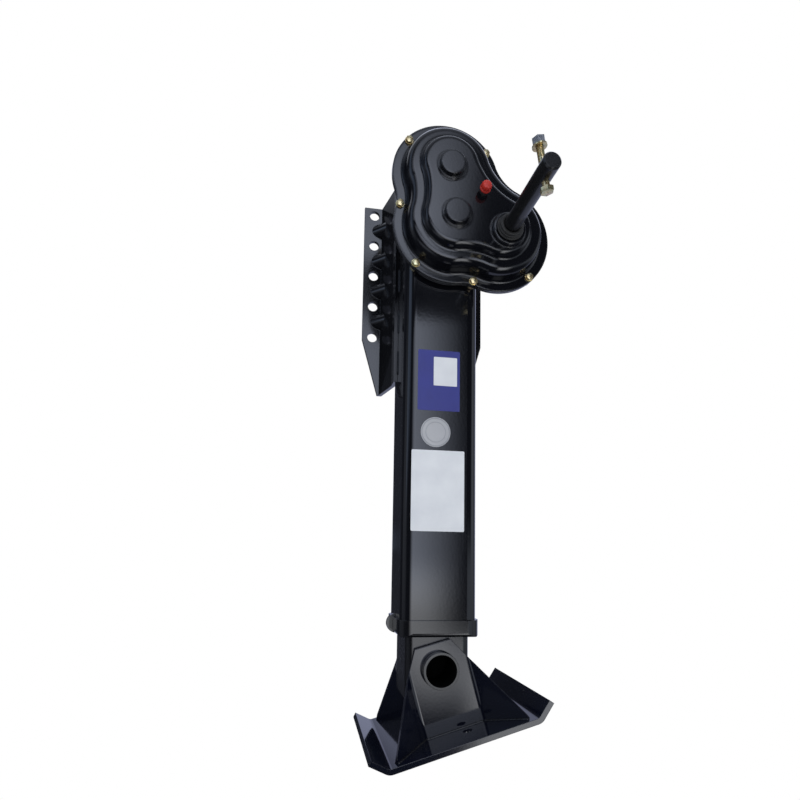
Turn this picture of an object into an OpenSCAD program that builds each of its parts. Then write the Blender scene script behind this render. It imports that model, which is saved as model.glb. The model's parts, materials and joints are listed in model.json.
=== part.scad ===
// Semi trailer landing gear: one geared leg with wing brackets, a crank gearbox and a rocking foot.
// X points right as seen from the gearbox, Y points inboard to the mounting face, and Z points up.
// The origin lies on the mounting face, at the middle of the bolt pattern.

/* [Outer tube] */
// Outside width of the square outer tube
tube_w = 118; // [112:1:124]
// Wall of the outer tube
tube_wall = 6; // [5:0.5:7]
// Outside corner radius of the outer tube
tube_corner = 18; // [14:1:20]
// Height of the tube's top above the middle bolt row
tube_top = 133; // [133:1:140]
// Length of the outer tube
tube_length = 763; // [740:1:800]
// Height of the collar round the tube's lower end
collar_h = 25; // [20:1:35]
// Sheet of the collar
collar_t = 4; // [3:0.5:5]
// How far the collar's ears stand out
ear_reach = 10; // [6:1:14]

/* [Wing brackets] */
// Distance from the tube's axis to the mounting face
mount_offset = 107; // [100:1:115]
// Distance between neighbouring holes in a column
hole_pitch = 59; // [54:0.5:59]
// Distance between the two columns of holes
hole_spacing = 188; // [184:1:196]
// Diameter of a mounting hole
hole_d = 18; // [14:0.5:20]
// Sheet of the brackets
bracket_t = 7; // [6:0.5:8]
// Margin of flange outside the hole columns
flange_margin = 18.5; // [16:0.5:22]
// Margin of bracket above the top hole
bracket_head = 15; // [12:0.5:15]
// Length of bracket below the lowest hole
bracket_tail = 108; // [90:1:120]
// Width of the dents pressed across the bend
dent_w = 30; // [24:1:34]

/* [Gearbox] */
// Module of the spur gears
gear_module = 3.1; // [3:0.05:3.15]
// Teeth of the pinion on the crank shaft
crank_teeth = 18; // [17:1:19]
// Teeth of the large idler gear
idler_teeth = 36; // [35:1:37]
// Teeth of the small idler pinion
step_teeth = 16; // [15:1:17]
// Teeth of the gear on the output shaft
output_teeth = 34; // [33:1:35]
// Height of the output shaft above the middle bolt row
output_z = 80; // [77:1:82]
// Sideways offset of the idler from the output shaft
idler_x = 8; // [4:1:12]
// Drop of the crank shaft below the idler
crank_drop = 18; // [14:1:22]
// Depth of the back pan, from the tube to its flange face
case_depth = 11.5; // [11:0.5:13]
// Sheet of the pan and the cover
cover_t = 3.5; // [3:0.5:4]
// Width of the bolted flange
flange_w = 15; // [14.5:0.5:17]
// Height of the cover's first step above its flange
step_h = 27; // [26:0.5:29]
// Height of the cover's plateau above its flange
plateau_h = 38; // [37:0.5:42]
// Height of the round bosses above the plateau
boss_h = 10; // [8:0.5:12]
// Radius of the round bosses
boss_r = 20; // [18:0.5:21]
// Concave radius between the lobes of the gearbox
lobe_fillet = 70; // [60:1:80]

/* [Crank] */
// Diameter of the crank shaft
crank_d = 25; // [24:0.5:26]
// How far the pushed-in crank shaft stands out of the plateau
crank_reach = 132; // [120:1:150]
// Stroke of the crank shaft between its gear positions
crank_stroke = 28; // [20:1:30]
// Distance of the cross bolt from the tip
bolt_setback = 27; // [22:1:32]
// Diameter of the cross bolt
cross_bolt_d = 10; // [8:1:12]
// Length of the cross bolt under its head
cross_bolt_l = 72; // [60:1:80]
// Lean of the cross bolt at rest
cross_bolt_lean = 9; // [0:1:30]

/* [Inner leg and screw] */
// Gap between the inner and the outer tube on each side
inner_gap = 4; // [3:0.5:6]
// Wall of the inner tube
inner_wall = 7; // [5:0.5:8]
// Travel of the inner leg
stroke = 430; // [380:1:440]
// Diameter of the lead screw over its thread
screw_d = 40; // [36:1:42]
// Diameter of the screw's upper journal
journal_d = 30; // [28:1:32]

/* [Foot] */
// Depth of the axle below the collar
axle_drop = 47; // [46:1:55]
// Outside diameter of the axle tube
axle_d = 54; // [46:1:56]
// Wall of the axle tube
axle_wall = 4; // [3:0.5:6]
// Length of the axle tube
axle_length = 144; // [136:1:150]
// Height of the axle above the sole's underside
foot_h = 99; // [94:1:110]
// Sheet of the foot's side plates
foot_t = 6; // [5:0.5:7]
// Half width of the side plates' top edge
plate_top_half = 28.5; // [24:0.5:32]
// Half width of the flat middle panel of a side plate
panel_half = 46; // [42:1:50]
// Half width of the side plates at the sole
plate_foot_half = 97; // [90:1:105]
// Length of the sole's flat part
sole_flat = 226; // [220:1:250]
// Depth of the sole, inboard to outboard
sole_depth = 236; // [230:1:260]
// Sheet of the sole
sole_t = 8; // [6:0.5:10]
// Length of the sole's raised end lips
lip_length = 26; // [20:1:32]
// Angle of the end lips
lip_angle = 41; // [30:1:50]
// Tilt of the foot at rest
foot_tilt = 15.9; // [0:0.1:20]

/* [Hidden] */
$fn = 96;

// Clearances: a running fit, a sliding guide and a loose hole
run_gap = 0.06;
guide_gap = 0.4;
loose_gap = 0.25;
// Overlap that keeps a cut clean
cut = 1;

// Tube
tube_in = tube_w - 2 * tube_wall;
tube_face = tube_w / 2;
tube_bottom = tube_top - tube_length;
tube_in_corner = max(tube_corner - tube_wall, 2);
collar_lip = 6;
collar_bottom = tube_bottom - collar_lip;
ear_h = 30;
ear_t = 6;

// Brackets
hole_x = hole_spacing / 2;
hole_rows = 5;
half_rows = (hole_rows - 1) / 2;
bracket_top = half_rows * hole_pitch + bracket_head;
bracket_bottom = -half_rows * hole_pitch - bracket_tail;
flange_edge = hole_x + flange_margin;
bend_x = hole_x - 14;
dent_reach = 18;
dent_run = 21.6;
lip_front = 14;
lip_back = 38;
tail_w = 24;
shoulder_drop = 4;

// Gear train, seen from the front: x to the right and z up
output_r = gear_module * output_teeth / 2;
step_r = gear_module * step_teeth / 2;
idler_r = gear_module * idler_teeth / 2;
crank_r = gear_module * crank_teeth / 2;
step_span = output_r + step_r;
crank_span = idler_r + crank_r;
output_at = [0, output_z];
idler_at = [idler_x, output_z - sqrt(step_span * step_span - idler_x * idler_x)];
crank_at = idler_at + [sqrt(crank_span * crank_span - crank_drop * crank_drop), -crank_drop];
gear_add = 0.95;
gear_ded = 1.25;
backlash = 0.3;

// Depths of the gearbox, as distances in front of the tube's axis
case_plate_t = 5;
gasket_t = 1;
case_front = tube_face + case_depth;
cover_back = case_front + gasket_t;
plateau_front = cover_back + cover_t + plateau_h;
boss_front = plateau_front + boss_h;
lower_gear_back = tube_face + case_plate_t + 2.5;
lower_gear_w = 15;
upper_gear_back = lower_gear_back + lower_gear_w + 1.5;
upper_gear_w = 13;

// Three lobes of the gearbox outline: output, idler and crank, with the shift of each from its shaft
rims = [31, 33, 59];
lobe_shift = [[0, 8], [0, 0], [-9, 9]];
tips = [output_r, idler_r, crank_r] + gear_module * [1, 1, 1];
lobe_at = [output_at, idler_at, crank_at] + lobe_shift;
lobe_r = tips + rims;

// Sections of the pressed cover: inset from the outline, then height over the flange's back
wall_foot = flange_w + 1.5;
shoulder_in = 30;
ridge_out = 37;
plateau_in = 50;
foot_fillet = 4;
ridge_fillet = 11;
valley_fillet = 5;
edge_fillet = 8;
blend_bite = 0.2;

// Bolts round the flange: angle on a lobe, or past the lobes on the arc between two of them
cover_bolt_d = 8;
cover_bolt_af = 11.5;
cover_bolt_l = 16;
cover_head_h = 5.5;
cover_nut_h = 6;
bolt_inset = 6.1;
cover_bolt_at = [[0, 139], [0, 36], [4, -6], [1, 229.5], [5, 78], [2, -47], [2, 48]];

// Output shaft and bevel pair, whose pitch cones meet where the shaft crosses the screw
output_d = 25;
nose_d = 20;
bevel_teeth = 28;
pinion_teeth = 14;
bevel_edge = tube_in / 2 - 2;
bevel_r = bevel_edge - 2;
bevel_pinion_r = bevel_r * pinion_teeth / bevel_teeth;
bevel_module = 2 * bevel_r / bevel_teeth;
bevel_cone = sqrt(bevel_r * bevel_r + bevel_pinion_r * bevel_pinion_r);
bevel_face = 14;
bevel_body = 12;
bevel_hub = 6;
pinion_hub_drop = 5;
output_rear = mount_offset - 12;
rear_bush_end = tube_face + 4;
stub_d = 22;
bush_t = 6.5;

// Screw stack, from the bevel gear down
bevel_back = output_z - bevel_pinion_r - bevel_body;
plate_top = bevel_back - bevel_hub - 1;
plate_t = 12;
race_t = 6;
race_gap = 6;
race_r = 31;
ball_d = 10;
ball_ring = 23;
ball_count = 12;
race_upper_bottom = plate_top - plate_t - race_t;
race_lower_top = race_upper_bottom - race_gap;
screw_collar_t = 12;
screw_collar_bottom = race_lower_top - race_t - screw_collar_t;
screw_nut_t = bevel_pinion_r - output_d / 2 - cut;
screw_nut_af = 41;

// Inner leg
inner_w = tube_in - 2 * inner_gap;
inner_corner = max(tube_in_corner - inner_gap + 4, 6);
nut_flange_t = 8;
nut_flange_r = 42;
nut_body_r = 30;
nut_body_l = 42;
nut_top = screw_collar_bottom - 6;
nut_plate_t = 12;
nut_plate_top = nut_top - nut_flange_t;
inner_top = nut_plate_top - nut_plate_t;
nut_bottom = nut_plate_top - nut_body_l;
stop_t = 8;
screw_bottom = nut_bottom - stroke - 25;
axle_z = collar_bottom - axle_drop;
axle_r = axle_d / 2;
axle_web = 6;
inner_bottom = axle_z - 45;

// Foot, in its own frame with the axle at the origin
panel_back = inner_w / 2 + 4;
plate_top_z = axle_drop - 9;
sole_top = sole_t - foot_h;
plate_foot_y = sole_depth / 2 - 10;
wing_angle = atan2(plate_foot_y - panel_back - foot_t, plate_foot_half - panel_half);
lip_round = 16;
fold_round = 14;
drain_d = 14;

// Crank shaft, along the line to the viewer
crank_tip = plateau_front + crank_reach + crank_stroke;
crank_back = tube_face + 1;
crank_chamfer = 2;
cross_bolt_y = crank_tip - bolt_setback;
crank_bush_r = crank_d / 2 + 4;
crank_boss_r = crank_bush_r + 10;
crank_boss_h = 7;
boss_roll = 2.5;
boss_foot = 3;
boss_groove = 2.4;
cross_head_h = 6.4;
cross_af = 16;
cross_head_gap = 20;
cross_nut_h = 10;
cross_washer_t = 2;
cross_thread_end = 3;
boot_ribs = 3;
boot_pitch = 4;
boot_t = 3;
boot_rib = 5.5;
boot_taper = 1.5;

// Vent on the plateau
vent_at = [50, 43];
vent_af = 13;
vent_base_h = 8;
vent_cap_r = 8.5;
vent_cap_h = 12;

// Strip on the tube's left side
clip_y = -22;
clip_w = 20;
clip_t = 3;
clip_bolt_z = output_z + 4;
clip_bolt_d = 6;
clip_bolt_af = 10;
clip_head_h = 4;
clip_seat = 16;
clip_bow = 14;
clip_curl = 4;
clip_bow_drop = 46;
clip_drop = 72;

// Colours
paint = [0.07, 0.075, 0.09];
steel = [0.55, 0.56, 0.58];
zinc = [0.78, 0.62, 0.25];
silver = [0.75, 0.76, 0.78];
bronze = [0.66, 0.48, 0.25];
rubber = [0.05, 0.05, 0.05];
red = [0.75, 0.1, 0.08];

// Moves a piece from the tube's axis to the part's frame.
module placed() {
    translate([0, -mount_offset, 0]) children();
}

// Draws a flat outline that lies in the front view, from a depth towards the viewer.
module facing(depth) {
    translate([0, -depth, 0]) rotate([90, 0, 0]) children();
}

// Round bar or hole along the line to the viewer.
module bar(at, from, to, r) {
    facing(from) translate([at.x, at.y, 0]) cylinder(r = r, h = to - from);
}

module tube_ring(at, from, to, r, hole_r) {
    difference() {
        bar(at, from, to, r);
        bar(at, from - cut, to + cut, hole_r);
    }
}

module round_square(w, r) {
    union() {
        square([w, w - 2 * r], center = true);
        square([w - 2 * r, w], center = true);
        for (sx = [-1, 1], sy = [-1, 1])
            translate([sx * (w / 2 - r), sy * (w / 2 - r)]) circle(r);
    }
}

module square_tube(w, r, wall, z0, z1) {
    translate([0, 0, z0]) linear_extrude(z1 - z0) difference() {
        round_square(w, r);
        round_square(w - 2 * wall, max(r - wall, 2));
    }
}

module hex_bar(af, h) {
    cylinder(r = af / sqrt(3), h = h, $fn = 6);
}

// Involute gears
function involute(a) = tan(a) - a * PI / 180;

// Half the angle of a tooth at radius r, for a gear of n teeth and pitch radius pr.
function tooth_half(r, pr, n, thin) =
    let (base = pr * cos(20), a = r > base ? acos(base / r) : 0)
    90 / n - thin / pr * 90 / PI + (involute(20) - involute(a)) * 180 / PI;

function flank(pr, n, low, high, thin, steps = 5) =
    [for (i = [0:steps]) let (r = low + (high - low) * i / steps) [r, tooth_half(r, pr, n, thin)]];

function ray(r, a) = [r * cos(a), r * sin(a)];

function gear_outline(n, pr, low, high, thin) =
    let (f = flank(pr, n, low, high, thin), last = len(f) - 1)
    [for (k = [0:n - 1], i = [0:2 * last + 1])
        let (right = i <= last, p = right ? f[i] : f[2 * last + 1 - i])
        ray(p[0], 360 * k / n + (right ? -p[1] : p[1]))];

// Spur gear with a tooth on the given angle.
module spur(n, angle, hole_r) {
    pr = gear_module * n / 2;
    rotate(angle) difference() {
        polygon(gear_outline(n, pr, pr - gear_ded * gear_module, pr + gear_add * gear_module, backlash));
        circle(hole_r);
    }
}

// Straight bevel teeth on a flat section across the axis: each tooth height is carried out along its cone.
function bevel_outline(n, pr, cone_angle) =
    let (back_r = pr / cos(cone_angle), far = pr / tan(cone_angle), m = 2 * pr / n,
        vn = n / cos(cone_angle), steps = 5,
        f = [for (i = [0:steps])
            let (u = m * (-gear_ded + (gear_ded + gear_add) * i / steps),
                stretch = (back_r + u) / (pr + u * cos(cone_angle)),
                half = tooth_half(back_r + u, back_r, vn, backlash) * stretch)
            [far * tan(cone_angle + u / bevel_cone * 180 / PI), half]])
    [for (k = [0:n - 1], i = [0:2 * steps + 1])
        let (right = i <= steps, p = right ? f[i] : f[2 * steps + 1 - i])
        ray(p[0], 360 * k / n + (right ? -p[1] : p[1]))];

// Teeth from a depth below the large end's pitch circle, which lies on z = 0, towards the cone's tip.
module bevel_teeth_ring(n, pr, cone_angle, below) {
    far = pr / tan(cone_angle);
    depth = bevel_face * cos(cone_angle);
    translate([0, 0, -below]) linear_extrude(depth + below, scale = (far - depth) / (far + below))
        scale((far + below) / far) polygon(bevel_outline(n, pr, cone_angle));
}

// Gearbox outline: three lobes joined by concave arcs
function far_corner(a, b, ra, rb) =
    let (d = norm(b - a), x = (ra * ra - rb * rb + d * d) / (2 * d), h = sqrt(ra * ra - x * x),
        u = (b - a) / d)
    a + x * u + h * [-u.y, u.x];

function heading(from, to) = atan2(to.y - from.y, to.x - from.x);

lobe_next = [2, 0, 1];
fillet_at = [for (i = [0:2]) let (j = lobe_next[i])
    far_corner(lobe_at[i], lobe_at[j], lobe_r[i] + lobe_fillet, lobe_r[j] + lobe_fillet)];

function arc(at, r, a0, a1, steps = 4) = [for (i = [0:steps]) at + ray(r, a0 + (a1 - a0) * i / steps)];

// Solid on the three-lobed outline. Its section is a list of inset and height, from the rim upwards.
// The concave arcs bite a little into the lobes, so that the faces cross and never just touch.
module lobed(section) {
    low = section[0].y;
    high = section[len(section) - 1].y;
    hollow = lobe_fillet + blend_bite;
    for (i = [0:2]) {
        translate(lobe_at[i]) rotate_extrude()
            polygon(concat([[0, low]], [for (p = section) [lobe_r[i] - p.x, p.y]], [[0, high]]));
        difference() {
            translate([0, 0, low]) linear_extrude(high - low)
                polygon([lobe_at[i], fillet_at[i], lobe_at[lobe_next[i]]]);
            translate(fillet_at[i]) rotate_extrude() polygon(concat(
                [[0, low - cut], [hollow + section[0].x, low - cut]],
                [for (p = section) [hollow + p.x, p.y]],
                [[hollow + section[len(section) - 1].x, high + cut], [0, high + cut]]));
        }
    }
    translate([0, 0, low]) linear_extrude(high - low) polygon(lobe_at);
}

module lobed_plate(inset, low, high) {
    lobed([[inset, low], [inset, high]]);
}

// Pressed form of the cover above its flange, shifted inwards and down by the sheet for its inside.
function pressed(shift) = [for (p = concat(
    arc([wall_foot - foot_fillet, cover_t + foot_fillet], foot_fillet, -80, -18, 3),
    arc([shoulder_in, cover_t + step_h - ridge_fillet], ridge_fillet, 162, 96),
    arc([ridge_out, cover_t + step_h + valley_fillet], valley_fillet, -96, -30, 3),
    arc([plateau_in, cover_t + plateau_h - edge_fillet], edge_fillet, 150, 90)))
    p + shift * [1, -1]];

function bolt_spot(i, angle) = i < 3
    ? lobe_at[i] + ray(lobe_r[i] - bolt_inset, angle)
    : fillet_at[i - 3] + ray(lobe_fillet + bolt_inset, angle);

// Puts a piece at each flange bolt, turned so that a flat of its hexagon faces the wall.
module each_bolt() {
    for (b = cover_bolt_at)
        translate(bolt_spot(b[0], b[1])) rotate(b[1] + 30) children();
}

module bolt_holes(low, high) {
    each_bolt() translate([0, 0, low]) cylinder(r = cover_bolt_d / 2 + loose_gap, h = high - low);
}

module hex_nut(af, hole_r, h) {
    difference() {
        hex_bar(af, h);
        translate([0, 0, -cut]) cylinder(r = hole_r, h = h + 2 * cut);
    }
}

module outer_tube() {
    color(paint) placed() difference() {
        square_tube(tube_w, tube_corner, tube_wall, tube_bottom, tube_top);
        bar(output_at, -tube_face - cut, tube_face + cut, output_d / 2 + bush_t);
        bar(idler_at, tube_in / 2 - cut, tube_face + cut, nose_d / 2);
    }
}

// Guide collar: a sleeve over the tube's end, turned in under it, with a lower edge rounded on all sides.
module bottom_collar() {
    w = tube_w + 2 * collar_t;
    round_r = collar_lip;
    color(paint) placed() difference() {
        union() {
            intersection() {
                translate([0, 0, collar_bottom]) linear_extrude(collar_h)
                    round_square(w, tube_corner + collar_t);
                for_each_way(w) collar_side(w, round_r);
            }
            for (side = [-1, 1]) collar_ear(side);
        }
        translate([0, 0, tube_bottom]) linear_extrude(collar_h + ear_h) round_square(tube_w, tube_corner);
        translate([0, 0, collar_bottom - cut]) linear_extrude(collar_h)
            round_square(inner_w + 2 * guide_gap, inner_corner + guide_gap);
    }
}

// The same side profile swept along X and along Y, and what the two sweeps share.
module for_each_way(w) {
    intersection() {
        rotate([90, 0, 0]) linear_extrude(w + 2 * cut, center = true) children();
        rotate([90, 0, 90]) linear_extrude(w + 2 * cut, center = true) children();
    }
}

module collar_side(w, r) {
    translate([-w / 2, collar_bottom + r]) square([w, collar_h - r]);
    translate([-w / 2 + r, collar_bottom]) square([w - 2 * r, r + cut]);
    for (s = [-1, 1]) translate([s * (w / 2 - r), collar_bottom + r]) circle(r);
}

module collar_ear(side) {
    at = side * (tube_face + collar_t + ear_reach - ear_h / 2);
    rotate([90, 0, 0]) linear_extrude(ear_t, center = true) {
        translate([at, collar_bottom + ear_h / 2]) circle(ear_h / 2);
    }
}

// Wing bracket: a lip on the tube's side, a wall that spreads to the rear and a drilled flange.
module bracket_plan() {
    spread = heading([tube_face + bracket_t, lip_back], [bend_x, mount_offset - bracket_t]);
    back_x = bend_x - bracket_t * tan(spread / 2);
    polygon([[tube_face, lip_front], [tube_face, lip_back + bracket_t * tan((90 - spread) / 2)],
        [back_x, mount_offset], [flange_edge, mount_offset], [flange_edge, mount_offset - bracket_t],
        [bend_x, mount_offset - bracket_t], [tube_face + bracket_t, lip_back],
        [tube_face + bracket_t, lip_front]]);
}

module bracket_front() {
    lowest = -half_rows * hole_pitch - shoulder_drop;
    polygon([[tube_face - cut, bracket_top], [flange_edge, bracket_top], [flange_edge, lowest],
        [tube_face + tail_w, bracket_bottom], [tube_face - cut, bracket_bottom]]);
}

// Dent pressed across the bend: its crest runs from the flange to the wall, over a round hollow.
dent_out = [bend_x + dent_reach, mount_offset - bracket_t];
dent_in = [tube_face + bracket_t, lip_back] + (1 - dent_run / (mount_offset - bracket_t - lip_back))
    * [bend_x - tube_face - bracket_t, mount_offset - bracket_t - lip_back];

module dent_bar(z, r) {
    translate([(dent_out.x + dent_in.x) / 2, (dent_out.y + dent_in.y) / 2, z])
        rotate([0, 0, heading(dent_out, dent_in)]) translate([0, -dent_w / 2, 0])
            rotate([0, 90, 0]) cylinder(r = r, h = 3 * dent_w, center = true);
}

module dent(z) {
    intersection() {
        translate([0, 0, z - dent_w]) linear_extrude(2 * dent_w)
            polygon([dent_out + bracket_t / 2 * [1, 1], [bend_x, mount_offset - bracket_t / 2],
                [bend_x - bracket_t / 2, mount_offset - bracket_t], dent_in - bracket_t / 2 * [1, 1],
                dent_in]);
        dent_bar(z, dent_w / 2);
    }
}

module wing() {
    dents = [for (i = [-half_rows:half_rows - 1]) (i + 0.5) * hole_pitch];
    difference() {
        union() {
            intersection() {
                translate([0, 0, bracket_bottom])
                    linear_extrude(bracket_top - bracket_bottom) bracket_plan();
                translate([0, mount_offset + cut, 0]) rotate([90, 0, 0])
                    linear_extrude(mount_offset + 2 * cut) bracket_front();
            }
            for (z = dents) dent(z);
        }
        for (z = dents) dent_bar(z, dent_w / 2 - bracket_t);
        for (i = [-half_rows:half_rows])
            bar([hole_x, i * hole_pitch], -mount_offset - cut, -mount_offset + bracket_t + cut, hole_d / 2);
    }
}

module right_bracket() {
    color(paint) placed() wing();
}

module left_bracket() {
    color(paint) placed() mirror([1, 0, 0]) wing();
}

// Lid: a plate on the tube's end with a skirt pressed down inside it.
module top_cap() {
    lid_t = 3;
    skirt = 14;
    color(paint) placed() union() {
        translate([0, 0, tube_top]) linear_extrude(lid_t) round_square(tube_w, tube_corner);
        square_tube(tube_in - 2 * guide_gap, tube_in_corner, lid_t, tube_top - skirt, tube_top);
    }
}

// Back pan of the gearbox, welded to the tube's face.
module gear_case() {
    inside = flange_w + cover_t;
    color(paint) placed() facing(tube_face) difference() {
        union() {
            lobed_plate(flange_w, 0, case_depth);
            lobed_plate(0, case_depth - cover_t, case_depth);
        }
        lobed_plate(inside, case_plate_t, case_depth + cut);
        bolt_holes(0, case_depth + cut);
        translate(output_at) translate([0, 0, -cut]) cylinder(r = output_d / 2 + bush_t, h = case_depth);
        translate(idler_at) translate([0, 0, -cut]) cylinder(r = nose_d / 2, h = case_depth);
        translate(crank_at) translate([0, 0, -cut]) cylinder(r = crank_bush_r, h = case_depth);
    }
}

module cover_gasket() {
    color(rubber) placed() facing(case_front) difference() {
        lobed_plate(0, 0, gasket_t);
        lobed_plate(wall_foot + cover_t, -cut, gasket_t + cut);
        bolt_holes(-cut, gasket_t + cut);
    }
}

// Round boss drawn up out of the plateau, with a rolled top edge.
module drawn_boss(r, h, roll) {
    rotate_extrude() {
        square([r - roll, h]);
        square([r, h - roll]);
        translate([r - roll, h - roll]) circle(roll);
    }
}

// Bearing boss: a low foot ring, a turned groove and the capped head.
module bearing_boss() {
    difference() {
        union() {
            drawn_boss(boss_r, cover_t + boss_h + cut, boss_roll / 2);
            drawn_boss(boss_r + boss_foot, cover_t + boss_foot + cut, boss_roll / 2);
        }
        translate([0, 0, cover_t + boss_foot - boss_groove / 2 + cut]) difference() {
            cylinder(r = boss_r + 2 * boss_foot, h = boss_groove);
            translate([0, 0, -cut]) cylinder(r = boss_r - boss_groove / 2, h = boss_groove + 2 * cut);
        }
    }
}

// Pressed cover: bolted flange, sloping wall, ridge, plateau, two bearing bosses and the crank boss.
module gear_cover() {
    color(paint) placed() facing(cover_back) difference() {
        union() {
            lobed(concat([[0, 0], [0, cover_t], [wall_foot - foot_fillet, cover_t]], pressed(0)));
            for (at = [output_at, idler_at])
                translate(at) translate([0, 0, plateau_h - cut]) bearing_boss();
            translate(crank_at) translate([0, 0, plateau_h - cut])
                drawn_boss(crank_boss_r, cover_t + crank_boss_h + cut, boss_roll);
        }
        lobed(concat([[wall_foot + cover_t, -cut]], pressed(cover_t)));
        for (at = [output_at, idler_at])
            translate(at) translate([0, 0, plateau_h - 2 * cut])
                cylinder(r = boss_r - cover_t, h = boss_h + 2 * cut);
        translate(crank_at) cylinder(r = crank_bush_r, h = 2 * plateau_h);
        bolt_holes(-cut, 2 * cover_t);
    }
}

module cover_bolts() {
    color(zinc) placed() facing(cover_back + cover_t) each_bolt() {
        hex_bar(cover_bolt_af, cover_head_h);
        translate([0, 0, -cover_bolt_l]) cylinder(r = cover_bolt_d / 2, h = cover_bolt_l + cut);
    }
}

module cover_nuts() {
    color(zinc) placed() facing(case_front - cover_t - cover_nut_h) each_bolt()
        hex_nut(cover_bolt_af, cover_bolt_d / 2 + run_gap, cover_nut_h);
}

module crank_case_bush() {
    color(bronze) placed()
        tube_ring(crank_at, tube_face, upper_gear_back - run_gap, crank_bush_r, crank_d / 2 + run_gap);
}

module crank_cover_bush() {
    color(bronze) placed()
        tube_ring(crank_at, plateau_front - cover_t - 8, plateau_front + crank_boss_h, crank_bush_r,
            crank_d / 2 + run_gap);
}

// Ribbed rubber boot on the crank boss.
module crank_boot() {
    inner = crank_d / 2 + guide_gap;
    height = boot_ribs * boot_pitch;
    color(rubber) placed() facing(plateau_front + crank_boss_h) translate(crank_at) difference() {
        union() {
            cylinder(r = inner + boot_t, h = height);
            for (i = [0:boot_ribs - 1])
                translate([0, 0, boot_pitch * i])
                    cylinder(r = inner + boot_t + boot_rib - boot_taper * i, h = 0.6 * boot_pitch);
        }
        translate([0, 0, -cut]) cylinder(r = inner, h = height + 2 * cut);
    }
}

module vent_base() {
    color(steel) placed() facing(plateau_front) translate(vent_at) hex_bar(vent_af, vent_base_h);
}

module vent_cap() {
    color(red) placed() facing(plateau_front + vent_base_h) translate(vent_at)
        drawn_boss(vent_cap_r, vent_cap_h, 3);
}

// Spring strip that holds the crank handle: flat on the tube's side, then bowed out and curled in.
module clip_side() {
    inner = [[0, clip_seat], [0, -clip_seat], [-clip_bow, -clip_bow_drop],
        [clip_curl - clip_bow, -clip_drop]];
    outer = [for (i = [3:-1:0]) inner[i] - [clip_t, 0]];
    translate([-tube_face, clip_bolt_z]) polygon(concat(inner, outer));
}

module side_clip() {
    color(paint) placed() difference() {
        translate([0, clip_y + clip_w / 2, 0]) rotate([90, 0, 0]) linear_extrude(clip_w) clip_side();
        translate([-tube_face + cut, clip_y, clip_bolt_z]) rotate([0, -90, 0])
            cylinder(r = clip_bolt_d / 2 + loose_gap, h = 3 * clip_t);
    }
}

module clip_bolt() {
    color(zinc) placed() translate([-tube_face - clip_t, clip_y, clip_bolt_z]) rotate([0, -90, 0]) {
        hex_bar(clip_bolt_af, clip_head_h);
        translate([0, 0, -clip_t]) cylinder(r = clip_bolt_d / 2, h = clip_t + cut);
    }
}

module bearing_plate() {
    color(steel) placed() translate([0, 0, plate_top - plate_t]) difference() {
        linear_extrude(plate_t) round_square(tube_in, tube_in_corner);
        translate([0, 0, -cut]) cylinder(r = journal_d / 2 + run_gap, h = plate_t + 2 * cut);
    }
}

// Thrust race with its ball groove, drawn on a base height.
module race(z) {
    translate([0, 0, z]) difference() {
        cylinder(r = race_r, h = race_t);
        translate([0, 0, -cut]) cylinder(r = journal_d / 2 + run_gap, h = race_t + 2 * cut);
        translate([0, 0, (race_upper_bottom + race_lower_top) / 2 - z])
            rotate_extrude() translate([ball_ring, 0]) circle(ball_d / 2 + run_gap);
    }
}

module thrust_race_upper() {
    color(steel) placed() race(race_upper_bottom);
}

module thrust_race_lower() {
    color(steel) placed() race(race_lower_top - race_t);
}

module thrust_balls() {
    color(silver) placed() translate([0, 0, (race_upper_bottom + race_lower_top) / 2])
        for (i = [0:ball_count - 1])
            rotate(360 * i / ball_count) translate([ball_ring, 0, 0]) sphere(d = ball_d, $fn = 32);
}

module output_front_bush() {
    color(bronze) placed()
        tube_ring(output_at, tube_in / 2, lower_gear_back - run_gap, output_d / 2 + bush_t,
            output_d / 2 + run_gap);
}

module output_rear_bush() {
    color(bronze) placed()
        tube_ring(output_at, -rear_bush_end, -tube_in / 2, output_d / 2 + bush_t, output_d / 2 + run_gap);
}

module output_nose_bush() {
    color(bronze) placed()
        tube_ring(output_at, plateau_front - cover_t, boss_front - cover_t - cut, boss_r - cover_t,
            nose_d / 2 + run_gap);
}

module idler_pin() {
    color(steel) placed() union() {
        bar(idler_at, tube_in / 2, plateau_front - cover_t, nose_d / 2);
        bar(idler_at, plateau_front - cover_t, boss_front - cover_t, boss_r - cover_t);
    }
}

// Lead screw: threaded bar drawn at its outside diameter, thrust collar and upper journal.
module lead_screw() {
    color(steel) placed() union() {
        translate([0, 0, screw_bottom]) cylinder(d = screw_d, h = screw_collar_bottom - screw_bottom + cut);
        translate([0, 0, screw_collar_bottom]) cylinder(r = race_r, h = screw_collar_t);
        translate([0, 0, screw_collar_bottom])
            cylinder(d = journal_d, h = bevel_back + bevel_body + screw_nut_t - screw_collar_bottom - cut);
    }
}

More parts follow.
